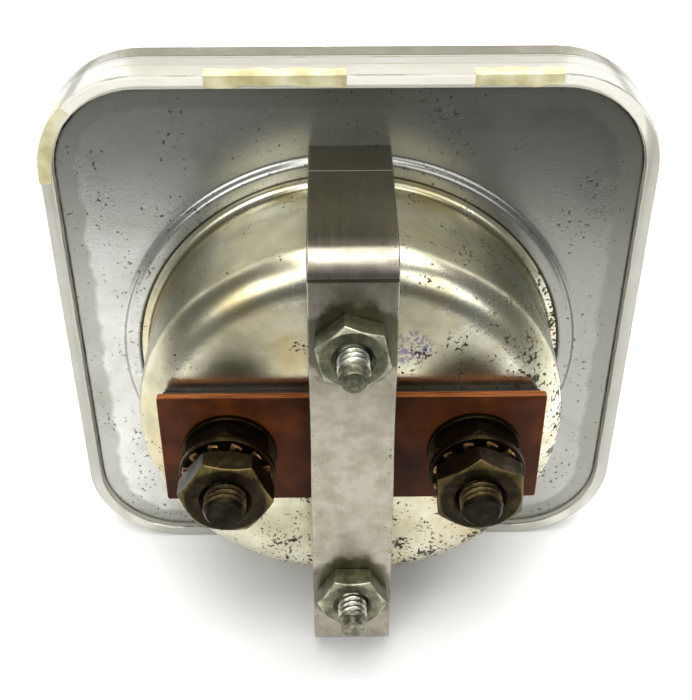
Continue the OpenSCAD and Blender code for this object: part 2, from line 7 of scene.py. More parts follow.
import bmesh
import bpy
import numpy as np
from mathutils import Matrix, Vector


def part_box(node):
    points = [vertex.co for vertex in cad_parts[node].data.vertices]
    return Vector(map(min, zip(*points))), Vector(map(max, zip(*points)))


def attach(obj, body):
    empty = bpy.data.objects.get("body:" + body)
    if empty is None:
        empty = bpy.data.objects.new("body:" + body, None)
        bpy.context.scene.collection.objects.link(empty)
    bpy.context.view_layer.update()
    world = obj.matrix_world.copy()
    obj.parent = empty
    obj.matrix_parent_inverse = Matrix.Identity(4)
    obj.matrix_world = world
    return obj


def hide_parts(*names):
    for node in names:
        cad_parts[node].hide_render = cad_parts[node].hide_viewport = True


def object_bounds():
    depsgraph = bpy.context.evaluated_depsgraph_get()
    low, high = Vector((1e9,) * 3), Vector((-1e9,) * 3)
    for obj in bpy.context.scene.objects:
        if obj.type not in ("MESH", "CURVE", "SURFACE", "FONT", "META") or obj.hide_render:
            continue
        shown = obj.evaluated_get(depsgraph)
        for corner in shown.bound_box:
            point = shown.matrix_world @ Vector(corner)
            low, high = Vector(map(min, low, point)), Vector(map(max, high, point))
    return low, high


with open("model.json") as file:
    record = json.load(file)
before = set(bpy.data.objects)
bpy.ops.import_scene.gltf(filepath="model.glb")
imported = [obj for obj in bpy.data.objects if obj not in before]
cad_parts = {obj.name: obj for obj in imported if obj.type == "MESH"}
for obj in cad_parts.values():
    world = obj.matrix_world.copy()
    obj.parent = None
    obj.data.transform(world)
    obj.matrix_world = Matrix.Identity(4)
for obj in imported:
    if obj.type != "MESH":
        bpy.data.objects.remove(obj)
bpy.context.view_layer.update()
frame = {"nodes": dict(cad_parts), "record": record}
RNG = np.random.default_rng(7)

# ---- Sizes in millimetres, worked out from the frame ----

MM = 0.001


def box_mm(node):
    """Lowest and highest corner of a CAD node, in millimetres."""
    low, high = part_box(node)
    return np.array(low) / MM, np.array(high) / MM


def middle_mm(node, axis):
    """Middle of a CAD node along one axis, in millimetres."""
    low, high = box_mm(node)
    return float(low[axis] + high[axis]) / 2


COVER_LOW, COVER_HIGH = box_mm("front_cover")
CASE_LOW, CASE_HIGH = box_mm("rear_case")
STRIP_LOW, STRIP_HIGH = box_mm("terminal_strip")
STRAP_LOW, STRAP_HIGH = box_mm("mounting_bracket")
DIAL_FACE = box_mm("dial_plate")[0][1]
FLANGE = CASE_HIGH[0] - CASE_LOW[0]
FLANGE_Z = (CASE_HIGH[2] + CASE_LOW[2]) / 2
SHEET = -CASE_LOW[1]
BACK = CASE_HIGH[1]
COVER = COVER_HIGH[0] - COVER_LOW[0]
FRONT = COVER_LOW[1]
RIM = COVER_HIGH[1]
TERMINAL_X = middle_mm("outer_nut_right", 0)
STUD_Z = middle_mm("bracket_nut_upper", 2)

# Sizes that no single box shows
BARREL_R = 25.4
RING_R = 28.5
RING_H = 0.7
RING_FOOT = 1.6
SHOULDER_R = 4.0
FLANGE_CORNER = 10.5
COVER_CORNER = 12.2
FRONT_WALL = 2.85
LEDGE = 1.2
RIM_CLEAR = 0.1
STRAP_THICK = 1.0
STRAP_BEND = 2.6
TERMINAL_R = 2.41
TERMINAL_AF = 9.525
STUD_R = 1.75
STUD_AF = 7.4
PITCH = 0.79375
ZERO_Z = -15.0
SCREW_SHANK_R = 2.55
SCREW_HEAD_R = 4.1
SCREW_POCKET = 1.3
SCALE_R = 23.0
FULL_SCALE = 45.0


# ---- Shapes: each function gives a grid of points in millimetres, as rows, columns and X, Y, Z ----


def softened(points, radius, steps=4, closed=False):
    """Replaces each corner P of a 2-D outline by the curve (1-s)^2 A + 2s(1-s) P + s^2 C, where A and C lie
    radius away from P along its two sides. An open outline keeps its two ends."""
    p = np.asarray(points, float)
    before, after = np.roll(p, 1, 0) - p, np.roll(p, -1, 0) - p
    reach_b = np.minimum(radius, 0.45 * np.linalg.norm(before, axis=1))[:, None]
    reach_a = np.minimum(radius, 0.45 * np.linalg.norm(after, axis=1))[:, None]
    a = p + before / np.linalg.norm(before, axis=1, keepdims=True) * reach_b
    c = p + after / np.linalg.norm(after, axis=1, keepdims=True) * reach_a
    s = np.linspace(0, 1, steps + 1)[None, :, None]
    curve = (1 - s) ** 2 * a[:, None] + 2 * s * (1 - s) * p[:, None] + s**2 * c[:, None]
    if closed:
        return curve.reshape(-1, 2)
    return np.vstack([p[:1], curve[1:-1].reshape(-1, 2), p[-1:]])


def turned(profile, x=0.0, z=0.0, around=96):
    """Turns a profile of radius and Y about the Y axis through x, z: X = x + r sin a, Z = z + r cos a."""
    profile = np.asarray(profile, float)
    a = np.linspace(0, 2 * np.pi, around, endpoint=False)
    r, y = profile[:, :1], profile[:, 1:]
    return np.dstack([x + r * np.sin(a), y + 0 * a, z + r * np.cos(a)])


def rounded_loop(width, height, corner, centre_z=0.0, per_corner=12, per_side=28):
    """A rectangle with round corners as X, Z points: four arcs of one radius joined by evenly divided sides.
    Loops made with the same counts match point by point, whatever their size."""
    turn = np.linspace(0, np.pi / 2, per_corner + 1)
    half = np.array([width / 2, height / 2])
    arcs = []
    for quarter in range(4):
        a = turn + quarter * np.pi / 2
        sign = np.array([[1, 1], [-1, 1], [-1, -1], [1, -1]])[quarter]
        arcs.append(sign * (half - corner) + corner * np.column_stack([np.cos(a), np.sin(a)]))
    arcs = np.array(arcs)
    t = np.linspace(0, 1, per_side, endpoint=False)[None, 1:, None]
    sides = arcs[:, -1:] * (1 - t) + np.roll(arcs, -1, 0)[:, :1] * t
    loop = np.concatenate([arcs, sides], axis=1).reshape(-1, 2)
    return loop + [0, centre_z]


def level(loop, y):
    """An X, Z loop laid at height Y along the axis."""
    return np.column_stack([loop[:, 0], np.full(len(loop), float(y)), loop[:, 1]])


def circle_like(loop, radius, x=0.0, z=0.0):
    """Points on a circle about x, z, each in the direction in which the loop's own point lies."""
    a = np.arctan2(loop[:, 1] - z, loop[:, 0] - x)
    return np.column_stack([x + radius * np.cos(a), z + radius * np.sin(a)])


def slab(width, height, corner, y0, y1, edge):
    """A plate with round corners and edges softened by a quarter circle, closed by a pole on each face."""
    a = np.linspace(0, np.pi / 2, 4)
    ins = np.r_[edge, edge * (1 - np.sin(a)), edge * (1 - np.cos(a)), edge]
    ys = np.r_[y0, y0 + edge * (1 - np.cos(a)), y1 - edge * (1 - np.sin(a)), y1]
    loops = [rounded_loop(width - 2 * i, height - 2 * i, max(corner - i, 0.05), 0, 6, 6) for i in ins]
    rows = [level(loop, y) for loop, y in zip(loops, ys)]
    pole = np.zeros_like(rows[0])
    return np.array([pole + [0, y0, 0], *rows, pole + [0, y1, 0]])


def hexagon_radius(a, across_flats):
    """Radius of a hexagon whose flat faces Z, in the direction a from Z."""
    flat = np.pi / 3
    return across_flats / 2 / np.cos((a + flat / 2) % flat - flat / 2)


def hex_nut(y0, y1, across_flats, bore, turn, x, z, faces=(True, True)):
    """A nut: hexagonal flats meet a 30 degree cone at each chamfered face along y = face + (r - face
    radius) tan 30, so each flat ends in a curve, and the bore has its own chamfer. Returns the points and
    how exposed to rubbing each one is, which is 1 along the rear edges."""
    a = np.linspace(0, 2 * np.pi, 144, endpoint=False)
    around = hexagon_radius(a - math.radians(turn), across_flats)
    face_r = across_flats / 2 * 0.965
    slope = math.tan(math.radians(30))
    soft, worn = 0.06, 0.16
    rise = (around - face_r) * slope
    low, high = (rise if faces[0] else 0 * rise + soft), (rise if faces[1] else 0 * rise + soft)
    ones = np.ones_like(a)
    rows = [
        (bore * ones, (y0 + 0.35) * ones, 0), ((bore + 0.3) * ones, y0 * ones, 0),
        (face_r * ones, y0 * ones, 0), (around - soft, y0 + low - soft * slope, 0),
        (around, y0 + low + soft, 0), (around, y1 - high - soft - worn, 0),
        (around, y1 - high - soft, 1), (around - soft, y1 - high + soft * slope, 1),
        (face_r * ones, y1 * ones, 0.35), ((face_r - worn) * ones, y1 * ones, 0),
        ((bore + 0.55) * ones, y1 * ones, 0), (bore * ones, (y1 - 0.5) * ones, 0),
    ]
    grid = np.array([np.column_stack([x + r * np.sin(a), y, z + r * np.cos(a)]) for r, y, _ in rows])
    return grid, np.repeat([wear for _, _, wear in rows], len(a))


def thread_depth(y, a, start, end, deep):
    """Depth below the thread's crest: a 60 degree V of the given depth along y / pitch - a / turn, with
    flattened crests, which fades out over a quarter of a pitch at both ends."""
    along = (y / PITCH - a / (2 * np.pi)) % 1
    v = np.clip(np.abs(2 * along - 1) * 1.25 - 0.12, 0, 1)
    fade = np.clip(np.minimum(y - start, end - y) / (PITCH / 4), 0, 1)
    return deep * v * fade


def threaded_rod(r, y0, thread_y, y1, x, z, tip, around=72):
    """A rod with a right-hand thread from thread_y to y1, then the tip's profile of radius and Y. Returns
    the points and how exposed to rubbing each one is, which is 1 along the thread's crests."""
    y = np.r_[y0, np.arange(thread_y, y1, PITCH / 12), y1][:, None]
    a = np.linspace(0, 2 * np.pi, around, endpoint=False)[None, :]
    deep = 0.21 * r**0.5
    cut = thread_depth(y, a, thread_y, y1 + PITCH / 3, deep)
    radius = r - cut
    body = np.dstack([x + radius * np.sin(a), y + 0 * a, z + radius * np.cos(a)])
    grid = np.concatenate([turned([[0, y0]], x, z, around), body, turned(tip, x, z, around)])
    wear = np.zeros(grid.shape[:2])
    wear[1:len(body) + 1] = 1 - cut / deep
    return grid, wear


def lock_washer(y0, y1, bore, root, tip, teeth, x, z):
    """A ring whose outer edge steps between root and tip radius once a tooth. Each tooth is twisted: its
    height changes along its width in proportion to the distance past the root."""
    n = 18
    a = np.linspace(0, 2 * np.pi, teeth * n, endpoint=False)
    phase = (a * teeth / (2 * np.pi)) % 1 - 0.5
    tooth = 1 / (1 + np.exp((np.abs(phase) - 0.27) * 60))
    outer = root + (tip - root) * tooth
    middle, half = (y0 + y1) / 2, (y1 - y0) / 2
    twist = -1.9 * phase * tooth * half
    thin = 0.62 * half
    rows = [
        (bore + 0 * a, middle - thin + 0 * a), (bore + 0 * a, middle + thin + 0 * a),
        (root - 0.1 + 0 * a, middle + thin + 0 * a), (outer - 0.08, middle + 0.5 * half + twist),
        (outer, middle + 0.35 * half + twist), (outer, middle - 0.35 * half + twist),
        (outer - 0.08, middle - 0.5 * half + twist), (root - 0.1 + 0 * a, middle - thin + 0 * a),
    ]
    grid = np.array([np.column_stack([x + r * np.sin(a), y, z + r * np.cos(a)]) for r, y in rows])
    grid[:, :, 1] = np.clip(grid[:, :, 1], y0, y1)
    return grid


def swept_strap(width, thick, reach, foot_y, top_y, bend):
    """A U strap: its outer line runs up one leg, round a bend, along the web and back down, and a rounded
    rectangle, width by thick, is carried along it. Returns the points, the path length and the section
    length."""
    turn = np.linspace(0, np.pi / 2, 15)
    leg = np.linspace(foot_y, top_y - bend, 12)
    corner_y, corner_z = top_y - bend + bend * np.sin(turn), reach - bend + bend * np.cos(turn)
    web = np.linspace(reach - bend, bend - reach, 60)[1:-1]
    y = np.r_[leg[:-1], corner_y, np.full(len(web), top_y), corner_y[::-1], leg[:-1][::-1]]
    z = np.r_[np.full(len(leg) - 1, reach), corner_z, web, -corner_z[::-1], np.full(len(leg) - 1, -reach)]
    out_y = np.r_[0 * leg[:-1], np.sin(turn), 1 + 0 * web, np.sin(turn[::-1]), 0 * leg[:-1]]
    out_z = np.r_[1 + 0 * leg[:-1], np.cos(turn), 0 * web, -np.cos(turn[::-1]), 0 * leg[:-1] - 1]
    h, t, soft = width / 2, thick, 0.22
    section = softened([[-h, 0], [h, 0], [h, -t], [-h, -t]], soft, 4, closed=True)
    flat = np.linspace(section[:-1], section[1:], 3)[:-1].transpose(1, 0, 2).reshape(-1, 2)
    section = np.vstack([flat, section[-1:]])
    across, depth = section[None, :, 0], section[None, :, 1]
    grid = np.dstack([across + 0 * y[:, None], y[:, None] + out_y[:, None] * depth,
                      z[:, None] + out_z[:, None] * depth])
    middle = grid.mean(axis=1, keepdims=True) + 0 * grid
    grid = np.concatenate([middle[:1], grid, middle[-1:]])
    step = np.hypot(np.diff(y), np.diff(z))
    length = np.r_[0, 0, np.cumsum(step), step.sum()]
    around = np.r_[0, np.cumsum(np.linalg.norm(np.diff(section, axis=0), axis=1))]
    return grid, length[:, None] + 0 * grid[..., 0], around[None, :] + 0 * grid[..., 0]


# ---- Making pieces ----


def placed(name, data):
    """A new object with the given data, linked into the scene."""
    made = bpy.data.objects.new(name, data)
    bpy.context.scene.collection.objects.link(made)
    return made


def quads(rows, cols, first, closed_rows):
    """Corner numbers of the faces of a grid whose columns wrap round, and whose rows do if closed_rows."""
    r = np.arange(rows if closed_rows else rows - 1)[:, None]
    c = np.arange(cols)[None, :]
    below, beside = (r + 1) % rows, (c + 1) % cols
    corners = [r * cols + c, r * cols + beside, below * cols + beside, below * cols + c]
    return np.stack(corners, -1).reshape(-1, 4) + first


def piece(name, body, materials, grids, closed=False, replaces=(), sharp=32, fields=None,
          row_material=None):
    """Makes one mesh from one or more grids of points, closes its seams and poles, turns its faces outwards
    and lets it ride on a body. fields are per-point numbers that the materials read by name, and
    row_material gives the material's number for each row of faces."""
    mesh = bpy.data.meshes.new(name)
    faces, first = [], 0
    for grid in grids:
        faces.append(quads(grid.shape[0], grid.shape[1], first, closed))
        first += grid.shape[0] * grid.shape[1]
    points = np.concatenate([grid.reshape(-1, 3) for grid in grids]) * MM
    mesh.from_pydata(points.tolist(), [], np.concatenate(faces).tolist())
    for field, values in (fields or {}).items():
        layer = mesh.attributes.new(field, "FLOAT", "POINT")
        layer.data.foreach_set("value", np.asarray(values, np.float32).ravel())
    if row_material is not None:
        cols = grids[0].shape[1]
        mesh.polygons.foreach_set("material_index", np.repeat(row_material, cols).astype(np.int32))
    work = bmesh.new()
    work.from_mesh(mesh)
    bmesh.ops.remove_doubles(work, verts=work.verts, dist=1e-7)
    bmesh.ops.dissolve_degenerate(work, edges=work.edges, dist=1e-8)
    bmesh.ops.recalc_face_normals(work, faces=work.faces)
    work.to_mesh(mesh)
    work.free()
    mesh.shade_smooth()
    mesh.set_sharp_from_angle(angle=math.radians(sharp))
    made = placed(name, mesh)
    for surface in materials:
        mesh.materials.append(surface)
    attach(made, body)
    if replaces:
        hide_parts(*replaces)
    return made


# ---- Materials ----


def linear(code):
    """An sRGB hex colour as linear red, green and blue, with an alpha of 1."""
    parts = np.array([int(code[i:i + 2], 16) for i in (1, 3, 5)]) / 255
    bent = np.where(parts <= 0.04045, parts / 12.92, ((parts + 0.055) / 1.055) ** 2.4)
    return (*bent.tolist(), 1.0)


def size(mm):
    """Scale of a pattern whose features are that many millimetres across."""
    return 1 / (mm * MM)


def add_node(tree, kind, inputs=None, stops=None, out=0, **settings):
    """Adds a shader node, sets its properties, its unlinked values and a colour ramp's stops, and links its
    inputs. Returns the output whose name or number is given."""
    node = tree.nodes.new("ShaderNode" + kind)
    for name, value in settings.items():
        setattr(node, name, value)
    if stops:
        ramp = node.color_ramp.elements
        while len(ramp) < len(stops):
            ramp.new(0.5)
        for element, (place, code) in zip(ramp, stops):
            element.position = place
            element.color = linear(code)
    for key, value in (inputs or {}).items():
        if isinstance(value, bpy.types.NodeSocket):
            tree.links.new(value, node.inputs[key])
        else:
            node.inputs[key].default_value = value
    return node.outputs[out]


def material(name, **values):
    """A material with one Principled shader whose constant values sit on its own sockets. Returns it with
    the shader, the means to add its nodes, and the coordinates of the piece it is on."""
    made = bpy.data.materials.new(name)
    made.use_nodes = True
    add = partial(add_node, made.node_tree)
    shader = made.node_tree.nodes["Principled BSDF"]
    for key, value in values.items():
        shader.inputs[key.replace("_", " ")].default_value = value
    return made, shader, add, add("TexCoord", out="Object")


def stained(add, colour, stains):
    """Lays stains over a colour in turn. Each is a mask, which says where it shows, and a hex colour."""
    for mask, code in stains:
        colour = add("Mix", {"Factor": mask, 6: colour, 7: linear(code)}, out=2, data_type="RGBA")
    return colour


def dress(shader, colour, roughness=None, relief=None):
    """Gives a shader its colour, its roughness and its relief, which is a height, a strength and a depth in
    millimetres."""
    links = shader.id_data.links
    links.new(colour, shader.inputs["Base Color"])
    if roughness is not None:
        links.new(roughness, shader.inputs["Roughness"])
    if relief is not None:
        height, strength, depth = relief
        inputs = {"Height": height, "Strength": strength, "Distance": depth * MM}
        links.new(add_node(shader.id_data, "Bump", inputs), shader.inputs["Normal"])


def drawn_steel_barrel():
    """Bright-plated drawn steel, aged: satin with a khaki cast, cloudy, tan in places, and pitted with
    small dark specks that crowd towards the bottom and the left side of the dial, which is the right side
    from behind. A faded lavender smudge of ink, about 4 mm across, lies beside the strap."""
    made, shader, add, where = material("plated_drawn_steel", Metallic=1.0)
    cloud = add("TexNoise", {"Vector": where, "Scale": size(9), "Detail": 5.0, "Roughness": 0.6})
    base = add("ValToRGB", {"Fac": cloud}, stops=[(0.34, "#aba78c"), (0.5, "#c4c0a6"), (0.66, "#d6d4c2")])
    blot = add("TexNoise", {"Vector": where, "Scale": size(11), "Detail": 4.0, "Distortion": 0.6})
    tan = add("MapRange", {"Value": blot, "From Min": 0.5, "From Max": 0.68, "To Max": 0.55})
    speck = add("TexNoise", {"Vector": where, "Scale": size(0.5), "Detail": 5.0, "Roughness": 0.62})
    patch = add("TexNoise", {"Vector": where, "Scale": size(3), "Detail": 3.0})
    x = add("SeparateXYZ", {"Vector": where})
    z = x.node.outputs["Z"]
    lean = add("Math", {0: x, 1: z}, operation="ADD")
    crowd = add("MapRange", {"Value": lean, "From Min": 0.03, "From Max": -0.035, "To Min": 0.0,
                             "To Max": 0.17})
    dense = add("Math", {0: patch, 1: 0.55, 2: crowd}, operation="MULTIPLY_ADD")
    level_of = add("Math", {0: speck, 1: dense}, operation="ADD")
    mask = add("MapRange", {"Value": level_of, "From Min": 0.955, "From Max": 1.0, "To Max": 0.9})
    centre = add("VectorMath", {0: where, 1: (-0.0067, BACK * MM, 0.0134)}, out="Value",
                 operation="DISTANCE")
    swirl = add("TexNoise", {"Vector": where, "Scale": size(1.1), "Detail": 2.0, "Distortion": 2.5})
    within = add("MapRange", {"Value": centre, "From Min": 0.0027, "From Max": 0.0021})
    inked = add("MapRange", {"Value": swirl, "From Min": 0.50, "From Max": 0.56, "To Max": 0.75})
    ink = add("Math", {0: within, 1: inked}, operation="MULTIPLY")
    rough = add("MapRange", {"Value": cloud, "From Min": 0.3, "From Max": 0.7, "To Min": 0.34,
                             "To Max": 0.23})
    dull = add("Math", {0: mask, 1: 0.4, 2: rough}, operation="MULTIPLY_ADD", use_clamp=True)
    grain = add("TexNoise", {"Vector": where, "Scale": size(0.9), "Detail": 4.0})
    height = add("Math", {0: mask, 1: -0.35, 2: grain}, operation="MULTIPLY_ADD")
    colour = stained(add, base, [(tan, "#b09a62"), (mask, "#26221a"), (ink, "#6f6c8c")])
    dress(shader, colour, dull, relief=(height, 0.35, 0.05))
    return made


def zinc_flange():
    """Zinc-plated sheet gone grey, dull and faintly grained, with flocks of dark specks and scratches; painted
    shade darkens it towards the top and the dial's left. A darker ragged band about 2.4 mm wide, left by the
    glue of old tape, runs round the edge, and painted shade darkens the gap beside it and the groove at the
    barrel's foot."""
    made, shader, add, where = material("grey_zinc_sheet", Metallic=0.85)
    cloud = add("TexNoise", {"Vector": where, "Scale": size(9), "Detail": 7.0, "Roughness": 0.66})
    base = add("ValToRGB", {"Fac": cloud}, stops=[(0.36, "#aeaea6"), (0.52, "#cfcfc9"), (0.64, "#e6e6e2")])
    x = add("SeparateXYZ", {"Vector": where})
    z = x.node.outputs["Z"]
    # Painted shade: the sheet is darkened towards the top and the dial's left, standing in for a darker
    # reflection there.
    drift = add("Math", {0: z, 1: 8.3, 2: cloud}, operation="MULTIPLY_ADD")
    lean = add("Math", {0: x, 1: -7.3, 2: drift}, operation="MULTIPLY_ADD")
    painted_shade = add("MapRange", {"Value": lean, "From Min": 0.12, "From Max": 1.0, "To Max": 0.88})
    edge = add("Attribute", out="Fac", attribute_name="edge_mm")
    ragged = add("TexNoise", {"Vector": where, "Scale": size(3.2), "Detail": 6.0})
    wander = add("Math", {0: ragged, 1: 2.4, 2: edge}, operation="MULTIPLY_ADD")
    band = add("MapRange", {"Value": wander, "From Min": 4.1, "From Max": 3.5, "To Max": 0.5})
    speck = add("TexNoise", {"Vector": where, "Scale": size(0.55), "Detail": 4.0})
    flock = add("TexNoise", {"Vector": where, "Scale": size(8), "Detail": 2.0})
    dense = add("Math", {0: flock, 1: 0.35, 2: speck}, operation="MULTIPLY_ADD")
    mask = add("MapRange", {"Value": dense, "From Min": 0.825, "From Max": 0.86, "To Max": 0.85})
    leaning = add("Mapping", {"Vector": where, "Rotation": (0.0, 0.6, 0.0), "Scale": (1.0, 1.0, 3.5)})
    scratch = add("TexNoise", {"Vector": leaning, "Scale": size(1.6), "Detail": 3.0})
    line = add("MapRange", {"Value": scratch, "From Min": 0.70, "From Max": 0.76, "To Max": 0.5})
    marks = add("Math", {0: mask, 1: line}, operation="MAXIMUM", use_clamp=True)
    # Painted shade: a dark ragged line along the flange's outer edge, in the gap beside the cover, and in the
    # groove at the barrel's foot.
    outline = add("Math", {0: ragged, 1: 0.5, 2: edge}, operation="MULTIPLY_ADD")
    painted_edge_shade = add("MapRange", {"Value": outline, "From Min": 0.55, "From Max": 0.3, "To Max": 0.9})
    rough = add("MapRange", {"Value": band, "To Min": 0.26, "To Max": 0.36})
    grain = add("TexNoise", {"Vector": where, "Scale": size(0.4), "Detail": 3.0})
    colour = stained(add, base, [(painted_shade, "#5f5f56"), (band, "#74776a"), (marks, "#3d3c36"),
                                 (painted_edge_shade, "#2c2a20")])
    dress(shader, colour, rough, relief=(grain, 0.3, 0.03))
    return made


def brushed_aluminium_strap():
    """Mill-finish aluminium strip, brushed along its length: fine lengthwise lines, warm grey, with grey rub
    rings round the two nuts and small dark nicks that gather along its edges. Painted shade darkens the upper
    leg, which has a scribed line across it, and lies in a dark line just past its bend."""
    made, shader, add, where = material("brushed_aluminium", Metallic=1.0)
    along = add("Attribute", out="Fac", attribute_name="along_mm")
    across = add("Attribute", out="Fac", attribute_name="across_mm")
    flow = add("CombineXYZ", {"X": along, "Y": across})
    drawn = add("Mapping", {"Vector": flow, "Scale": (0.08, 4.0, 1.0)})
    lines = add("TexNoise", {"Vector": drawn, "Scale": 1.0, "Detail": 5.0, "Roughness": 0.65})
    cloud = add("TexNoise", {"Vector": where, "Scale": size(1.7), "Detail": 7.0})
    both = add("Math", {0: lines, 1: 0.22, 2: cloud}, operation="MULTIPLY_ADD")
    base = add("ValToRGB", {"Fac": both}, stops=[(0.40, "#8b8576"), (0.57, "#979182"), (0.74, "#a39d8f")])
    straight = float(STRAP_HIGH[1] - STRAP_LOW[1]) - STRAP_BEND
    x = add("SeparateXYZ", {"Vector": where})
    z = x.node.outputs["Z"]
    side = add("Math", {0: z}, operation="ABSOLUTE")
    away = add("Math", {0: side, 1: STUD_Z * MM}, operation="SUBTRACT")
    flat = add("CombineXYZ", {"X": x, "Y": away})
    ring = add("VectorMath", {0: flat}, out="Value", operation="LENGTH")
    wobble = add("Math", {0: cloud, 1: 0.003, 2: ring}, operation="MULTIPLY_ADD")
    rub = add("MapRange", {"Value": wobble, "From Min": 0.0074, "From Max": 0.0066, "To Max": 0.85})
    # Painted shade: the upper leg is darkened, standing in for the dark reflection it shows.
    leg = add("MapRange", {"Value": along, "From Min": straight + 1.2, "From Max": straight - 1.5,
                           "To Max": 0.9})
    # Painted shade: a dark line just past the bend.
    painted_bend_shade = add("Math", {0: along, 1: straight + STRAP_BEND * math.pi / 2 + 0.1, 2: 0.22},
                 operation="COMPARE")
    rub_and_leg_shade = add("Math", {0: rub, 1: leg}, operation="MAXIMUM")
    rub_wear_and_painted_shade = add("Math", {0: rub_and_leg_shade, 1: painted_bend_shade}, operation="MAXIMUM")
    nick = add("TexNoise", {"Vector": where, "Scale": size(0.5), "Detail": 3.0})
    rim = add("Math", {0: x}, operation="ABSOLUTE")
    border = add("MapRange", {"Value": rim, "From Min": 0.0032, "From Max": 0.0048, "To Max": 0.09})
    more = add("Math", {0: nick, 1: border}, operation="ADD")
    mask = add("MapRange", {"Value": more, "From Min": 0.70, "From Max": 0.76, "To Max": 0.8})
    scribe = add("Math", {0: along, 1: 5.5, 2: 0.09}, operation="COMPARE")
    rough = add("MapRange", {"Value": lines, "From Min": 0.3, "From Max": 0.7, "To Min": 0.27,
                             "To Max": 0.35})
    height = add("Math", {0: scribe, 1: -1.5, 2: lines}, operation="MULTIPLY_ADD")
    colour = stained(add, base, [(rub_wear_and_painted_shade, "#5f5c4a"), (mask, "#4a463c"), (scribe, "#c4bfa9")])
    dress(shader, colour, rough, relief=(height, 0.08, 0.05))
    return made


def mottled_metal(name, codes, roughness, cloud_mm, pit_code="#1d1a12", pit=0.72, bare=None):
    """A turned or pressed metal part with its tarnish: three tones in soft clouds, roughness that follows
    them, and small pits. Where an edge has been rubbed, the bare metal shows in patches."""
    made, shader, add, where = material(name, Metallic=1.0)
    cloud = add("TexNoise", {"Vector": where, "Scale": size(cloud_mm), "Detail": 6.0, "Roughness": 0.65})
    base = add("ValToRGB", {"Fac": cloud}, stops=list(zip((0.34, 0.52, 0.68), codes)))
    speck = add("TexNoise", {"Vector": where, "Scale": size(0.45), "Detail": 3.0})
    mask = add("MapRange", {"Value": speck, "From Min": pit, "From Max": pit + 0.06})
    stains = [(mask, pit_code)]
    if bare:
        wear = add("Attribute", out="Fac", attribute_name="wear")
        patchy = add("MapRange", {"Value": cloud, "From Min": 0.38, "From Max": 0.58, "To Min": 0.25,
                                  "To Max": 1.0})
        rubbed = add("Math", {0: wear, 1: patchy}, operation="MULTIPLY", use_clamp=True)
        stains.append((rubbed, bare))
    rough = add("MapRange", {"Value": cloud, "From Min": 0.3, "From Max": 0.7, "To Min": roughness + 0.1,
                             "To Max": roughness - 0.06})
    dress(shader, stained(add, base, stains), rough, relief=(speck, 0.3, 0.05))
    return made


def phenolic_sheet(name, codes, layers):
    """Paper-based phenolic laminate: a dense dark red-brown board with a soft sheen. Its sawn edges are
    lighter and show the paper layers as fine stripes, drawn 0.15 mm apart."""
    made, shader, add, where = material(name, Roughness=0.55, IOR=1.5, Specular_IOR_Level=0.1)
    stretch = (1.0, 40.0 if layers else 1.0, 1.0)
    laid = add("Mapping", {"Vector": where, "Scale": stretch})
    fibre = add("TexNoise", {"Vector": laid, "Scale": size(6), "Detail": 8.0, "Roughness": 0.6})
    base = add("ValToRGB", {"Fac": fibre}, stops=list(zip((0.35, 0.5, 0.66), codes)))
    dress(shader, base, relief=(fibre, 0.25, 0.04))
    return made


def aged_acrylic(name, clear, codes, roughness, painted_edge_shade=()):
    """Moulded acrylic, aged: glossy, with a cream cast, faint hazing and fine scratches that soften what is
    seen through it. The moulding's sides are cloudier than its window and scatter more of the light. Painted
    shade lies in broken dark lines that run round the side at the given heights in millimetres."""
    made, shader, add, where = material(name, IOR=1.49, Transmission_Weight=clear)
    haze = add("TexNoise", {"Vector": where, "Scale": size(5), "Detail": 6.0})
    tint = add("ValToRGB", {"Fac": haze}, stops=list(zip((0.3, 0.7), codes)))
    y = add("SeparateXYZ", {"Vector": where}, out="Y")
    stains = []
    # Painted shade: broken dark lines round the side at the given heights.
    for height, code in painted_edge_shade:
        away = add("Math", {0: y, 1: height * MM}, operation="SUBTRACT")
        off = add("Math", {0: away}, operation="ABSOLUTE")
        line = add("MapRange", {"Value": off, "From Min": 0.00018, "From Max": 0.00006})
        broken = add("MapRange", {"Value": haze, "From Min": 0.42, "From Max": 0.6, "To Min": 0.15,
                                  "To Max": 0.9})
        share = add("Math", {0: line, 1: broken}, operation="MULTIPLY")
        stains.append((share, code))
    rough = add("MapRange", {"Value": haze, "From Min": 0.35, "From Max": 0.7, "To Min": roughness,
                             "To Max": roughness + 0.1})
    scratch = add("TexNoise", {"Vector": where, "Scale": size(0.8), "Detail": 4.0})
    dress(shader, stained(add, tint, stains), rough, relief=(scratch, 0.12, 0.03))
    return made


def old_tape():
    """Cellulose tape that has yellowed: thin and patchy, browner where the glue has gathered."""
    made, shader, add, where = material("yellowed_tape", Roughness=0.45, IOR=1.47)
    cloud = add("TexNoise", {"Vector": where, "Scale": size(2.5), "Detail": 6.0})
    tint = add("ValToRGB", {"Fac": cloud}, stops=[(0.35, "#b3a97c"), (0.5, "#c9c297"), (0.68, "#d9d5b4")])
    dress(shader, tint)
    return made


def plain_finish(name, codes, roughness, cloud_mm, bump_mm=0.3, strength=0.15, **values):
    """A painted, moulded or dyed finish: close tones in soft clouds over a fine surface texture."""
    made, shader, add, where = material(name, Roughness=roughness, **values)
    cloud = add("TexNoise", {"Vector": where, "Scale": size(cloud_mm), "Detail": 6.0})
    base = add("ValToRGB", {"Fac": cloud}, stops=list(zip((0.32, 0.68), codes)))
    grain = add("TexNoise", {"Vector": where, "Scale": size(bump_mm), "Detail": 3.0})
    dress(shader, base, relief=(grain, strength, 0.03))
    return made


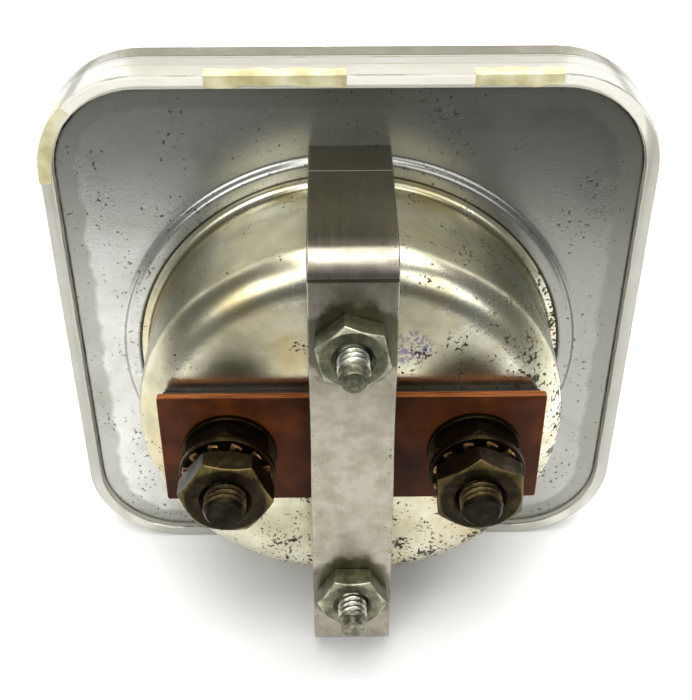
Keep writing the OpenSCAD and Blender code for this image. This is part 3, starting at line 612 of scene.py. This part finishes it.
BARREL = drawn_steel_barrel()
ZINC_SHEET = zinc_flange()
STRAP = brushed_aluminium_strap()
OLD_BRASS = mottled_metal("patinated_brass", ("#17130b", "#251f12", "#3a311d"), 0.42, 1.8, bare="#6c5e39")
DARK_BRASS = mottled_metal("blackened_brass", ("#100d08", "#1b170f", "#2b2517"), 0.45, 1.5, bare="#5a4d31")
TOOTH_BRONZE = mottled_metal("phosphor_bronze", ("#3a2a18", "#6b4e32", "#a98457"), 0.32, 0.7)
DULL_ZINC = mottled_metal("dull_zinc_plate", ("#515143", "#6b6a57", "#87856d"), 0.42, 1.3, "#33312a",
                          bare="#b9b8a0")
BRIGHT_ZINC = mottled_metal("bright_zinc_plate", ("#4c4a3e", "#6c6a5b", "#908e7c"), 0.34, 0.7, "#3d3b33",
                            0.68, bare="#d0cfc2")
PHENOLIC_FACE = phenolic_sheet("phenolic_laminate", ("#2c1306", "#3f1e09", "#552a0f"), False)
PHENOLIC_EDGE = phenolic_sheet("sawn_phenolic_edge", ("#4a2410", "#7a4320", "#9a6030"), True)
WINDOW = aged_acrylic("clear_acrylic_window", 1.0, ("#f6f4ea", "#fcfbf6"), 0.02)
ACRYLIC = aged_acrylic("cloudy_acrylic_side", 0.4, ("#c9c6b9", "#d6d4ca"), 0.12,
                       ((-3.95, "#8f8a78"), (-2.2, "#b9b5a6"), (0.62, "#5a5440")))
# The front edge's acrylic is a darker copy of the side's: painted shade for the greyer look through the thick
# edge.
SHADED_ACRYLIC_EDGE = aged_acrylic("acrylic_edge_painted_shade", 0.4, ("#8f8a79", "#a39f8f"), 0.2, ((-4.42, "#5d5848"),))
TAPE = old_tape()
BLACK_FIBRE = plain_finish("black_vulcan_fibre", ("#141110", "#241e1a"), 0.6, 2.0)
BLACK_PLASTIC = plain_finish("black_phenolic_moulding", ("#101012", "#1c1c1f"), 0.35, 3.0)
ENAMEL = plain_finish("ivory_enamel", ("#e6e0cc", "#efeadb"), 0.4, 12.0)
BLACK_INK = plain_finish("black_printing_ink", ("#111111", "#1b1b1b"), 0.55, 1.5)
POINTER_BLACK = plain_finish("black_lacquer", ("#0d0d0d", "#191919"), 0.3, 2.0)
CLEAN_BRASS = mottled_metal("satin_brass", ("#a58545", "#bb9a55", "#cdae6b"), 0.32, 2.0, "#6a5426", 0.78)
BRIGHT_STEEL = mottled_metal("polished_steel", ("#9c9ea1", "#b1b3b6", "#c3c5c8"), 0.22, 2.0, "#5a5a58", 0.8)
CAST_ALUMINIUM = mottled_metal("cast_aluminium", ("#8e9193", "#a2a5a7", "#b4b7b9"), 0.5, 1.2, "#5b5c5c",
                               0.74)
MAGNET = mottled_metal("ground_magnet_alloy", ("#4a4b4e", "#5a5b5f", "#696a6e"), 0.45, 1.5, "#2a2a2c", 0.74)
SOFT_IRON = mottled_metal("turned_soft_iron", ("#6c6c70", "#7d7d81", "#8d8d90"), 0.38, 1.5, "#4b4036", 0.74)
COPPER_WIRE = plain_finish("enamelled_copper_wire", ("#8a3f1c", "#a65427"), 0.35, 0.6, 0.12, 0.6,
                           Metallic=0.6)
SOLDER = mottled_metal("dull_solder", ("#85867f", "#9a9b94", "#acada6"), 0.45, 0.8, "#55564f", 0.76)
RED_CLOTH = plain_finish("red_cotton_sleeve", ("#611210", "#8a1e19"), 0.85, 0.5, 0.15, 0.8)
BLACK_CLOTH = plain_finish("black_cotton_sleeve", ("#121212", "#262523"), 0.85, 0.5, 0.15, 0.8)

SLOT_FINISH = {
    "clear_acrylic": ACRYLIC, "tape": TAPE, "black_plastic": BLACK_PLASTIC, "dial_enamel": ENAMEL,
    "plated_steel": DULL_ZINC, "case_steel": BARREL, "black_fibre": BLACK_FIBRE, "phenolic": PHENOLIC_FACE,
    "old_brass": OLD_BRASS, "phosphor_bronze": TOOTH_BRONZE, "aluminium_strap": DULL_ZINC,
    "cast_aluminium": CAST_ALUMINIUM, "magnet_alloy": MAGNET, "soft_iron": SOFT_IRON,
    "clean_brass": CLEAN_BRASS, "bright_steel": BRIGHT_STEEL, "copper_wire": COPPER_WIRE,
    "pointer_black": POINTER_BLACK, "solder": SOLDER, "red_cloth": RED_CLOTH, "black_cloth": BLACK_CLOTH,
}
for part in frame["record"]["subparts"]:
    node = frame["nodes"][part["node"]]
    node.data.materials.clear()
    node.data.materials.append(SLOT_FINISH[part["material_slot"]])


# ---- The case, cover and tape ----


def rear_case():
    """Flange, raised ring and barrel in one skin. Loops run from the middle of the barrel's back out to the
    flange's edge and, inside, back to the middle. The flange's loops shrink from a rounded square to the
    ring's circle by mixing the two in steps, and where the ring nearly reaches the flange's edge they are
    pushed out so that each stays outside the one before. edge_mm is each point's distance from the flange's
    outline."""
    edge = rounded_loop(FLANGE, FLANGE, FLANGE_CORNER, FLANGE_Z)
    shoulder = np.linspace(np.pi / 2, 0, 12)
    flat_r = BARREL_R - SHOULDER_R
    fillet = np.linspace(0, np.pi / 2, 7)
    fillet_r = 0.9
    foot_r = RING_R + RING_FOOT
    ring_foot = softened([[foot_r, 0], [RING_R + 0.35, 0], [RING_R - 0.2, RING_H], [RING_R - 1.2, RING_H]],
                         0.4, 5)
    barrel = [(0.0, BACK), (flat_r * 0.5, BACK), (flat_r - 0.6, BACK)]
    barrel += [(flat_r + SHOULDER_R * np.cos(a), BACK - SHOULDER_R * (1 - np.sin(a))) for a in shoulder]
    barrel += [(BARREL_R, y) for y in (10.0, 7.0, 4.0, 2.4)]
    barrel += [(BARREL_R + fillet_r * (1 - np.cos(a)), RING_H - 0.12 + fillet_r * (1 - np.sin(a)))
               for a in fillet]
    groove = [(BARREL_R + fillet_r + 0.12, RING_H - 0.14), (BARREL_R + fillet_r + 0.22, RING_H),
              (BARREL_R + fillet_r + 0.45, RING_H)]
    outside = barrel + groove + [tuple(p) for p in ring_foot[::-1]]
    rows = [level(circle_like(edge, r), y) for r, y in outside]
    inner = circle_like(edge, foot_r)
    insets = (3.6, 2.9, 2.2, 1.5, 0.9, 0.4, 0.12)
    around = [rounded_loop(FLANGE - 2 * i, FLANGE - 2 * i, FLANGE_CORNER - i, FLANGE_Z) for i in insets]
    push = 0.08
    least = [foot_r + push * (i + 1) for i in range(len(insets))]
    around = [loop * np.maximum(1, r / np.hypot(*loop.T))[:, None] for loop, r in zip(around, least)]
    blends = (0.12, 0.3, 0.5, 0.75)
    rows += [level(inner * (1 - t) + around[0] * t, 0) for t in blends]
    rows += [level(loop, 0) for loop in around]
    rows += [level(edge, y) for y in (-0.12, 0.1 - SHEET)]
    slim = rounded_loop(FLANGE - 0.2, FLANGE - 0.2, FLANGE_CORNER - 0.1, FLANGE_Z)
    rows += [level(slim, -SHEET)]
    inside = [(RING_R - 0.8, -SHEET), (RING_R - 0.9, 0.0), (BARREL_R - SHEET, 0.0)]
    inside += [(BARREL_R - SHEET, BACK - SHOULDER_R), (BARREL_R - 2.0, BACK - SHEET - 1.4),
               (flat_r, BACK - SHEET)]
    inside += [(0.0, BACK - SHEET)]
    rows += [level(circle_like(edge, r), y) for r, y in inside]
    grid = np.array(rows)
    past = np.abs(grid[..., [0, 2]] - [0, FLANGE_Z]) - (FLANGE / 2 - FLANGE_CORNER)
    edge_mm = FLANGE_CORNER - np.linalg.norm(np.maximum(past, 0), axis=-1) - np.minimum(past.max(axis=-1), 0)
    # The groove's rows count as the flange's edge, so that the painted edge shade darkens the groove too.
    edge_mm[len(barrel):len(barrel) + len(groove)] = 0.0
    skin = np.zeros(len(rows) - 1, int)
    edge_rows = 3
    skin[len(barrel):len(outside) + len(blends) + len(insets) + edge_rows] = 1
    piece("case_shell", "case", [BARREL, ZINC_SHEET], [grid], replaces=["rear_case"],
          sharp=50, fields={"edge_mm": edge_mm}, row_material=skin)


def front_cover():
    """A clear shell that closes on itself: loops run from the zero screw's hole over the front, round the
    softened front edge, down the side to the rim, over the ledge into the cavity and back to the hole."""
    outer = rounded_loop(COVER, COVER, COVER_CORNER, FLANGE_Z)
    seat_size = FLANGE + 2 * RIM_CLEAR
    cavity = FLANGE - 2 * LEDGE
    back_of_front = FRONT + FRONT_WALL
    quarter = np.linspace(0, np.pi / 2, 6)
    big, small = 0.7, 0.3

    def square(inset, y):
        return level(rounded_loop(COVER - 2 * inset, COVER - 2 * inset, COVER_CORNER - inset, FLANGE_Z), y)

    def hole(radius, y):
        return level(circle_like(outer, radius, 0, ZERO_Z), y)

    rows = [hole(SCREW_SHANK_R, back_of_front), hole(SCREW_SHANK_R, FRONT + SCREW_POCKET),
            hole(SCREW_HEAD_R, FRONT + SCREW_POCKET), hole(SCREW_HEAD_R, FRONT + 0.1),
            hole(SCREW_HEAD_R + 0.1, FRONT)]
    rows += [square(big + 0.3, FRONT)]
    rows += [square(big * (1 - np.sin(a)), FRONT + big * (1 - np.cos(a))) for a in quarter]
    rows += [square(0, back_of_front), square(0, back_of_front + 0.12)]
    rows += [square(small * (1 - np.cos(a)), RIM - small * (1 - np.sin(a))) for a in quarter]
    seat_inset = (COVER - seat_size) / 2
    rows += [square(seat_inset - 0.12, RIM), square(seat_inset, RIM - 0.12), square(seat_inset, -SHEET)]
    cavity_inset = (COVER - cavity) / 2
    rows += [square(cavity_inset, -SHEET), square(cavity_inset, back_of_front + 0.5),
             square(cavity_inset + 0.5, back_of_front)]
    # The window is the first six rows and the last, and the front edge, in the darker acrylic of painted
    # shade, is the seven after them
    skin = np.ones(len(rows), int)
    skin[[0, 1, 2, 3, 4, 5, -1]] = 0
    skin[6:13] = 2
    piece("clear_cover", "case", [WINDOW, ACRYLIC, SHADED_ACRYLIC_EDGE], [np.array(rows)], closed=True,
          replaces=["front_cover"], sharp=40, row_material=skin)


def tape_remnants():
    """Strips of tape folded over the cover's rim. Each follows the cover's outline, with an L-shaped
    section: one leg lies on the side, the other on the rim's rear face, and both free edges wander."""
    thick, gap, reach = 0.05, 0.005, 1.3
    loop = rounded_loop(COVER, COVER, COVER_CORNER, FLANGE_Z, 24, 120)
    outward = rounded_loop(COVER + 2, COVER + 2, COVER_CORNER + 1, FLANGE_Z, 24, 120) - loop
    angle = np.degrees(np.arctan2(loop[:, 0], loop[:, 1] - FLANGE_Z))
    grids = []
    for start, end in ((0.5, 24.5), (44.5, 58.0), (-34.0, -21.0)):
        run = np.where((angle >= start) & (angle <= end))[0]
        run = run[np.argsort(angle[run])]
        p, n = loop[run], outward[run]
        knots = RNG.uniform(-0.25, 0.25, (2, len(run) // 4 + 2))
        along = np.arange(len(run)) / 4
        wander = np.array([np.interp(along, np.arange(knots.shape[1]), row) for row in knots])
        front, inner = -1.0 + wander[0], -reach + wander[1]
        back = RIM + 0 * front
        section = ((front, gap), (front, thick), (back + thick, thick), (back + thick, inner),
                   (back + gap, inner), (back + gap, gap))
        rows = [np.column_stack([p[:, 0] + n[:, 0] * lift, y, p[:, 1] + n[:, 1] * lift])
                for y, lift in section]
        around = np.array(rows).transpose(1, 0, 2)
        ends = 0.5 * (around[:, 2:3] + around[:, 5:6]) + 0 * around
        grids.append(np.concatenate([ends[:1], around, ends[-1:]]))
    piece("tape_remnants", "case", [TAPE], grids, replaces=["edge_tape"])


# ---- Strip, terminals and bracket ----


def terminal_strip():
    """The laminate strip as a plate with crisp sawn edges, whose edge rows take the lighter laminate."""
    width, height = STRIP_HIGH[0] - STRIP_LOW[0], STRIP_HIGH[2] - STRIP_LOW[2]
    grid = slab(width, height, 0.35, STRIP_LOW[1], STRIP_HIGH[1], 0.09)
    skin = np.ones(len(grid) - 1, int)
    skin[[0, 1, -2, -1]] = 0
    piece("terminal_strip_board", "case", [PHENOLIC_FACE, PHENOLIC_EDGE], [grid],
          replaces=["terminal_strip"], row_material=skin)
    low, high = box_mm("strip_insulator")
    sheet = slab(high[0] - low[0], high[2] - low[2], 0.3, low[1], high[1], 0.12)
    piece("strip_insulator_sheet", "case", [BLACK_FIBRE], [sheet], replaces=["strip_insulator"])


def washer(node, x):
    """A stamped flat washer: a ring whose four edges are softened."""
    low, high = box_mm(node)
    r = (high[2] - low[2]) / 2
    bore = TERMINAL_R + 0.15
    profile = [[bore, low[1]], [r, low[1]], [r, high[1]], [bore, high[1]]]
    return turned(softened(profile, 0.16, 4, True), x, 0)


def terminals():
    """Studs, washers and nuts of the two terminals."""
    for side, x, nut_turn in (("left", -TERMINAL_X, 33), ("right", TERMINAL_X, -6)):
        low, high = box_mm(f"terminal_stud_{side}")
        strip = float(STRIP_HIGH[1])
        head_r, head_h, chamfer = 4.0, 1.5, 0.45
        start = turned([[0, low[1]], [head_r, low[1]], [head_r, low[1] + head_h]], x, 0, 72)
        end = high[1]
        rod, wear = threaded_rod(TERMINAL_R, low[1] + head_h, strip, end - chamfer, x, 0,
                                 [[TERMINAL_R - 0.12, end - 0.4], [TERMINAL_R - 0.42, end], [0, end]])
        piece(f"terminal_rod_{side}", "case", [DARK_BRASS], [np.concatenate([start, rod[1:]])],
              replaces=[f"terminal_stud_{side}"], sharp=28,
              fields={"wear": np.concatenate([0 * start[..., 0], wear[1:]])})
        low, high = box_mm(f"lock_washer_{side}")
        teeth = lock_washer(low[1], high[1], TERMINAL_R + 0.1, (high[2] - low[2]) / 2 - 1.1,
                            (high[2] - low[2]) / 2, 12, x, 0)
        piece(f"toothed_washer_{side}", f"washer_{side}", [TOOTH_BRONZE], [teeth], closed=True,
              replaces=[f"lock_washer_{side}"])
        low, high = box_mm(f"outer_nut_{side}")
        nut, wear = hex_nut(low[1], high[1], TERMINAL_AF, TERMINAL_R + 0.05, nut_turn, x, 0)
        piece(f"terminal_nut_{side}", f"nut_{side}", [OLD_BRASS], [nut], closed=True,
              replaces=[f"outer_nut_{side}"], sharp=24, fields={"wear": wear})
    sides = (-TERMINAL_X, TERMINAL_X)
    for node, name in (("strip_washers", "strip_washer_pair"), ("wire_washers", "wire_washer_pair")):
        piece(name, "case", [OLD_BRASS], [washer(node, x) for x in sides], closed=True, replaces=[node])
    low, high = box_mm("inner_nuts")
    nuts = [hex_nut(low[1], high[1], TERMINAL_AF, TERMINAL_R + 0.05, 30, x, 0)[0] for x in sides]
    piece("inner_nut_pair", "case", [OLD_BRASS], nuts, closed=True, replaces=["inner_nuts"],
          sharp=24)


def bracket():
    """The strap, its two studs with dog points, and the nuts in front of and behind it."""
    reach = (STRAP_HIGH[2] - STRAP_LOW[2]) / 2
    grid, along, across = swept_strap(STRAP_HIGH[0] - STRAP_LOW[0], STRAP_THICK, reach, STRAP_LOW[1],
                                      STRAP_HIGH[1], STRAP_BEND)
    piece("strap_bracket", "bracket", [STRAP], [grid], replaces=["mounting_bracket"],
          fields={"along_mm": along, "across_mm": across}, sharp=50)
    low, high = box_mm("bracket_studs")
    end, dog_r = high[1], STUD_R * 0.785
    rods, wears = [], []
    for z in (-STUD_Z, STUD_Z):
        tip = softened([[STUD_R - 0.05, end - 1.5], [dog_r, end - 1.2], [dog_r, end], [0, end]], 0.15)
        rod, wear = threaded_rod(STUD_R, low[1], BACK, end - 1.55, 0, z, tip)
        rods.append(rod)
        wears.append(wear)
    piece("bracket_stud_pair", "case", [BRIGHT_ZINC], rods, replaces=["bracket_studs"],
          sharp=40, fields={"wear": np.array(wears)})
    for side, z, turn in (("upper", STUD_Z, 42), ("lower", -STUD_Z, 0)):
        low, high = box_mm(f"bracket_nut_{side}")
        nut, wear = hex_nut(low[1], high[1], STUD_AF, STUD_R + 0.05, turn, 0, z, (False, True))
        piece(f"strap_nut_{side}", f"nut_{side}", [DULL_ZINC], [nut], closed=True,
              replaces=[f"bracket_nut_{side}"], sharp=24, fields={"wear": wear})
    low, high = box_mm("stud_lock_nuts")
    nuts = [hex_nut(low[1], high[1], STUD_AF, STUD_R + 0.05, 30, 0, z, (False, True))[0]
            for z in (-STUD_Z, STUD_Z)]
    piece("case_nut_pair", "case", [DULL_ZINC], nuts, closed=True, replaces=["stud_lock_nuts"],
          sharp=24)


# ---- The dial's printing ----


def flat_marks(name, outlines):
    """Thin printed shapes on the dial: each is four X, Z corners, made a plate about 0.02 mm thick."""
    corners = np.array(outlines)
    lower, upper = (np.dstack([corners[..., 0], 0 * corners[..., 0] + (DIAL_FACE - lift), corners[..., 1]])
                    for lift in (0.02, 0.001))
    grids = [np.array([low.mean(axis=0) + 0 * low, low, up, up.mean(axis=0) + 0 * up])
             for low, up in zip(lower, upper)]
    piece(name, "case", [BLACK_INK], grids)


def scale_mark(angle, inner, outer, half_width):
    """Corners of a radial mark at an angle from the top, in degrees."""
    a = math.radians(angle)
    out, side = np.array([math.sin(a), math.cos(a)]), np.array([math.cos(a), -math.sin(a)])
    return [out * inner - side * half_width, out * inner + side * half_width,
            out * outer + side * half_width, out * outer - side * half_width]


def dial_printing():
    """A centre-zero scale to thirty on each side: an arc, a mark every two and a plain number every ten."""
    marks = []
    for i in range(-30, 31, 2):
        tall = 3.0 if i % 10 == 0 else 1.7
        marks.append(scale_mark(i / 30 * FULL_SCALE, SCALE_R, SCALE_R + tall, 0.14 if i % 10 == 0 else 0.08))
    flat_marks("scale_marks", marks)
    a = np.radians(np.linspace(-FULL_SCALE, FULL_SCALE, 61))
    low, high = SCALE_R - 0.1, SCALE_R + 0.1
    ring = np.stack([np.column_stack([r * np.sin(a), r * np.cos(a)]) for r in (low, high)])
    arcs = [[ring[0, i], ring[0, i + 1], ring[1, i + 1], ring[1, i]] for i in range(60)]
    flat_marks("scale_arc", arcs)
    for i in range(-30, 31, 10):
        text = bpy.data.curves.new(f"scale_number_{i + 30}", "FONT")
        text.body = str(abs(i))
        text.size = 3.4 * MM
        text.align_x, text.align_y = "CENTER", "CENTER"
        text.extrude = 0.01 * MM
        holder = placed("number", text)
        bpy.context.view_layer.update()
        mesh = bpy.data.meshes.new_from_object(holder)
        bpy.data.objects.remove(holder)
        a = math.radians(i / 30 * FULL_SCALE)
        points = np.zeros(len(mesh.vertices) * 3)
        mesh.vertices.foreach_get("co", points)
        x, up, lift = points.reshape(-1, 3).T
        r = (SCALE_R + 5.2) * MM
        place = np.column_stack([r * math.sin(a) + x * math.cos(a) + up * math.sin(a),
                                 DIAL_FACE * MM - 0.000012 - lift,
                                 r * math.cos(a) - x * math.sin(a) + up * math.cos(a)])
        mesh.vertices.foreach_set("co", place.ravel())
        mesh.materials.clear()
        mesh.materials.append(BLACK_INK)
        number = placed(f"scale_number_{i + 30}", mesh)
        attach(number, "case")


rear_case()
front_cover()
tape_remnants()
terminal_strip()
terminals()
bracket()
dial_printing()


# ---- Floor, light and camera ----


def studio():
    """A pale floor under the object, a large soft light overhead, three smaller ones behind the camera, and
    two dim panels on the dial's side. Each light is a place, the point it faces, a width and a power."""
    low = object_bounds()[0]
    floor = bpy.data.meshes.new("floor")
    side, near, far = 1.5, 0.084, -1.5
    floor.from_pydata([(-side, far, low.z), (side, far, low.z), (side, near, low.z), (-side, near, low.z)],
                      [], [(0, 1, 2, 3)])
    ground = placed("floor", floor)
    floor.materials.append(material("matt_white_paper", Roughness=0.9, Base_Color=linear("#f4f4f3"))[0])
    for name, place, aim, width, power in (
            ("overhead", (-0.05, -0.05, 0.60), (0, -0.03, 0), 0.66, 5.6),
            ("behind_camera", (0.04, 0.30, 0.50), (0, 0, 0), 0.32, 1.1),
            ("left_behind", (-0.32, 0.50, 0.28), (0, 0, 0), 0.36, 1.1),
            ("right_behind", (0.32, 0.50, 0.28), (0, 0, 0), 0.36, 1.6),
            ("left_panel", (-0.38, -0.42, 0.30), (0, 0, 0), 0.50, 1.5),
            ("right_panel", (0.38, -0.42, 0.30), (0, 0, 0), 0.50, 1.8)):
        lamp = bpy.data.lights.new(name, "AREA")
        lamp.energy = power
        lamp.size = width
        holder = placed(name, lamp)
        holder.location = place
        holder.rotation_euler = (Vector(aim) - Vector(place)).to_track_quat("-Z", "Y").to_euler()
    world = bpy.data.worlds.new("sky")
    bpy.context.scene.world = world
    world.use_nodes = True
    sky = world.node_tree.nodes["Background"].inputs
    sky["Color"].default_value = linear("#f2f4f8")
    sky["Strength"].default_value = 0.18


def camera():
    """The view from behind and above."""
    place = Vector((2.06, 127.3, 99.6)) * MM
    ahead = Vector((-0.010, -0.789, -0.615))
    lens = bpy.data.cameras.new("camera")
    lens.lens = 64.54
    lens.sensor_width = 36.0
    lens.clip_start = 0.005
    holder = placed("camera", lens)
    holder.location = place
    holder.rotation_euler = ahead.to_track_quat("-Z", "Y").to_euler()
    bpy.context.scene.camera = holder


studio()
camera()
bpy.context.scene.view_settings.view_transform = "Standard"
